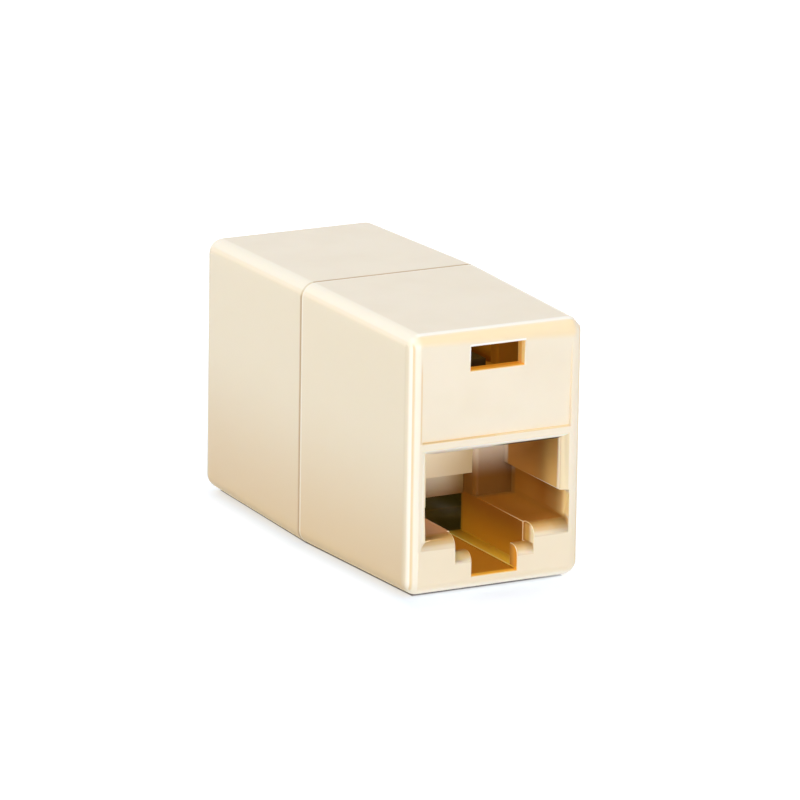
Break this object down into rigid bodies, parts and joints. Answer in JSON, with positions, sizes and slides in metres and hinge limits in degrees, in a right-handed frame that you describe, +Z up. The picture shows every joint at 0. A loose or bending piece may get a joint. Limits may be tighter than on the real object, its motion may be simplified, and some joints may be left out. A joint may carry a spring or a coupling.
{
  "type": "in-line network coupler",
  "caption": "Small ivory plastic block of two drafted half shells with an eight-way modular port at each end; joins two network leads end to end.",
  "frame": {"origin": "under the middle of the seam, at the height of the lowest point", "axes": "+Z up, +Y along the coupler towards its rear port, +X to the right seen from the front port; the front port faces -Y"},
  "size_m": [0.0164, 0.036, 0.0218],
  "materials": {
    "ivory_shell": "semi-gloss moulded, slightly translucent ivory",
    "carrier_plastic": "satin moulded, pale cream",
    "gilt_contact": "gold-plated spring strip",
    "board_laminate": "green solder resist"
  },
  "bodies": {
    "root": {"front_shell": "ivory_shell", "front_insert": "carrier_plastic", "front_contact_1": "gilt_contact", "front_contact_2": "gilt_contact", "front_contact_3": "gilt_contact", "front_contact_4": "gilt_contact", "front_contact_5": "gilt_contact", "front_contact_6": "gilt_contact", "front_contact_7": "gilt_contact", "front_contact_8": "gilt_contact", "rear_shell": "ivory_shell", "rear_insert": "carrier_plastic", "rear_contact_1": "gilt_contact", "rear_contact_2": "gilt_contact", "rear_contact_3": "gilt_contact", "rear_contact_4": "gilt_contact", "rear_contact_5": "gilt_contact", "rear_contact_6": "gilt_contact", "rear_contact_7": "gilt_contact", "rear_contact_8": "gilt_contact", "joining_board": "board_laminate"}
  },
  "joints": []
}
